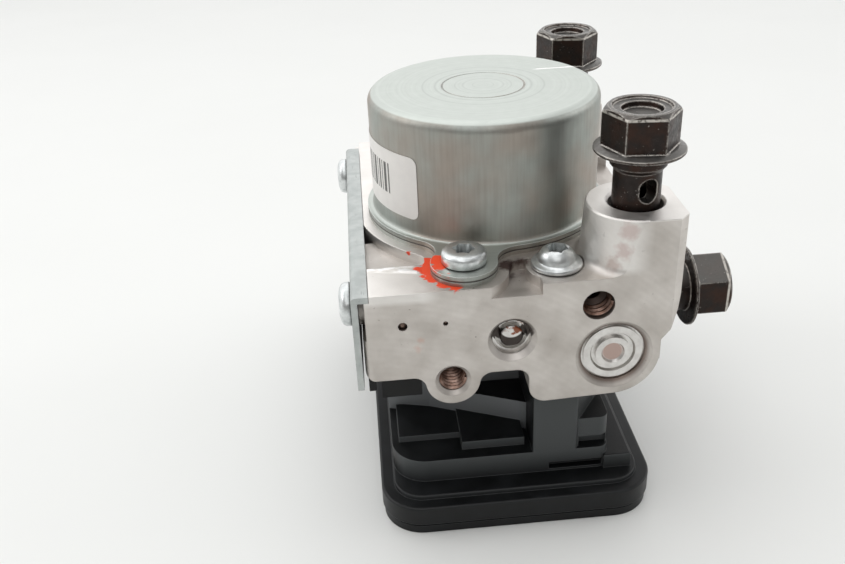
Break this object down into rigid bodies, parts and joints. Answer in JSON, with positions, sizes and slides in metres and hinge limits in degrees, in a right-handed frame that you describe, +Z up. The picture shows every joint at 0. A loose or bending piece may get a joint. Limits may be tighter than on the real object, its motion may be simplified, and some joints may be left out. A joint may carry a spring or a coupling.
{
  "type": "abs brake modulator",
  "caption": "Anti-lock brake modulator: pump motor on a machined valve block with port bolts, side bracket and moulded control unit below.",
  "frame": {"origin": "on the underside of the control unit's cover, on the motor's axis", "axes": "+Z up along the motor's axis, -Y out of the front face with the tapped hole, +X towards the side with the port turrets"},
  "size_m": [0.0779, 0.0914, 0.0824],
  "materials": {
    "aluminium_block": "machined, fine cutter marks",
    "steel_can": "drawn steel, dull nickel",
    "zinc_steel": "zinc plated",
    "black_oxide": "black oxide, worn bright at the edges",
    "black_plastic": "glass-filled, fine grain",
    "magnet": "sintered",
    "core_steel": "laminated",
    "copper": "enamelled copper",
    "hard_steel": "ground",
    "bronze": "sintered",
    "holder_plastic": "moulded",
    "carbon": "pressed carbon and copper",
    "seal_rubber": "moulded",
    "board": "laminate",
    "pin_metal": "tinned"
  },
  "bodies": {
    "modulator": {"valve_block": "aluminium_block", "motor_can": "steel_can", "motor_magnets": "magnet", "upper_bush": "bronze", "bearing_outer_ring": "hard_steel", "bearing_balls": "hard_steel", "brush_holder": "holder_plastic", "brushes": "carbon", "motor_screws": "zinc_steel", "ecu_screws": "zinc_steel", "bracket_screws": "zinc_steel", "banjo_bolt_front": "black_oxide", "banjo_bolt_rear": "black_oxide", "banjo_bolt_side": "black_oxide", "valve_cartridges": "hard_steel", "valve_coils": "copper", "ecu_housing": "black_plastic", "ecu_cover": "black_plastic", "ecu_seal": "seal_rubber", "circuit_board": "board", "connector_pins": "pin_metal", "mount_bracket": "zinc_steel", "ball_plugs": "hard_steel", "front_pump_spring": "hard_steel", "front_pump_plug": "hard_steel", "front_accumulator_spring": "hard_steel", "front_accumulator_cap": "aluminium_block", "rear_pump_spring": "hard_steel", "rear_pump_plug": "hard_steel", "rear_accumulator_spring": "hard_steel", "rear_accumulator_cap": "aluminium_block"},
    "rotor": {"motor_shaft": "hard_steel", "armature_core": "core_steel", "armature_windings": "copper", "commutator": "copper", "bearing_inner_ring": "hard_steel", "eccentric_ring": "hard_steel"},
    "front_pump": {"front_pump_piston": "hard_steel"},
    "front_accumulator": {"front_accumulator_piston": "aluminium_block"},
    "front_inlet_valve": {"front_inlet_armature": "core_steel"},
    "front_outlet_valve": {"front_outlet_armature": "core_steel"},
    "rear_pump": {"rear_pump_piston": "hard_steel"},
    "rear_accumulator": {"rear_accumulator_piston": "aluminium_block"},
    "rear_inlet_valve": {"rear_inlet_armature": "core_steel"},
    "rear_outlet_valve": {"rear_outlet_armature": "core_steel"}
  },
  "joints": [
    {"name": "rotor_spin", "type": "hinge", "parent": "modulator", "child": "rotor", "pos_m": [0, 0, 0.06], "axis": [0, 0, 1], "continuous": true},
    {"name": "front_pump_stroke", "type": "slide", "parent": "modulator", "child": "front_pump", "axis": [0, -1, 0], "range_m": [0, 0.0018], "stiffness_N_per_m": 1500, "deforming": ["front_pump_spring"]},
    {"name": "front_accumulator_stroke", "type": "slide", "parent": "modulator", "child": "front_accumulator", "axis": [0, -1, 0], "range_m": [0, 0.002], "stiffness_N_per_m": 2500, "deforming": ["front_accumulator_spring"]},
    {"name": "front_inlet_lift", "type": "slide", "parent": "modulator", "child": "front_inlet_valve", "axis": [0, 0, 1], "range_m": [0, 0.0004], "stiffness_N_per_m": 2000},
    {"name": "front_outlet_lift", "type": "slide", "parent": "modulator", "child": "front_outlet_valve", "axis": [0, 0, 1], "range_m": [-0.0004, 0], "stiffness_N_per_m": 2000},
    {"name": "rear_pump_stroke", "type": "slide", "parent": "modulator", "child": "rear_pump", "axis": [0, 1, 0], "range_m": [0, 0.0018], "stiffness_N_per_m": 1500, "deforming": ["rear_pump_spring"]},
    {"name": "rear_accumulator_stroke", "type": "slide", "parent": "modulator", "child": "rear_accumulator", "axis": [0, 1, 0], "range_m": [0, 0.002], "stiffness_N_per_m": 2500, "deforming": ["rear_accumulator_spring"]},
    {"name": "rear_inlet_lift", "type": "slide", "parent": "modulator", "child": "rear_inlet_valve", "axis": [0, 0, 1], "range_m": [0, 0.0004], "stiffness_N_per_m": 2000},
    {"name": "rear_outlet_lift", "type": "slide", "parent": "modulator", "child": "rear_outlet_valve", "axis": [0, 0, 1], "range_m": [-0.0004, 0], "stiffness_N_per_m": 2000}
  ]
}
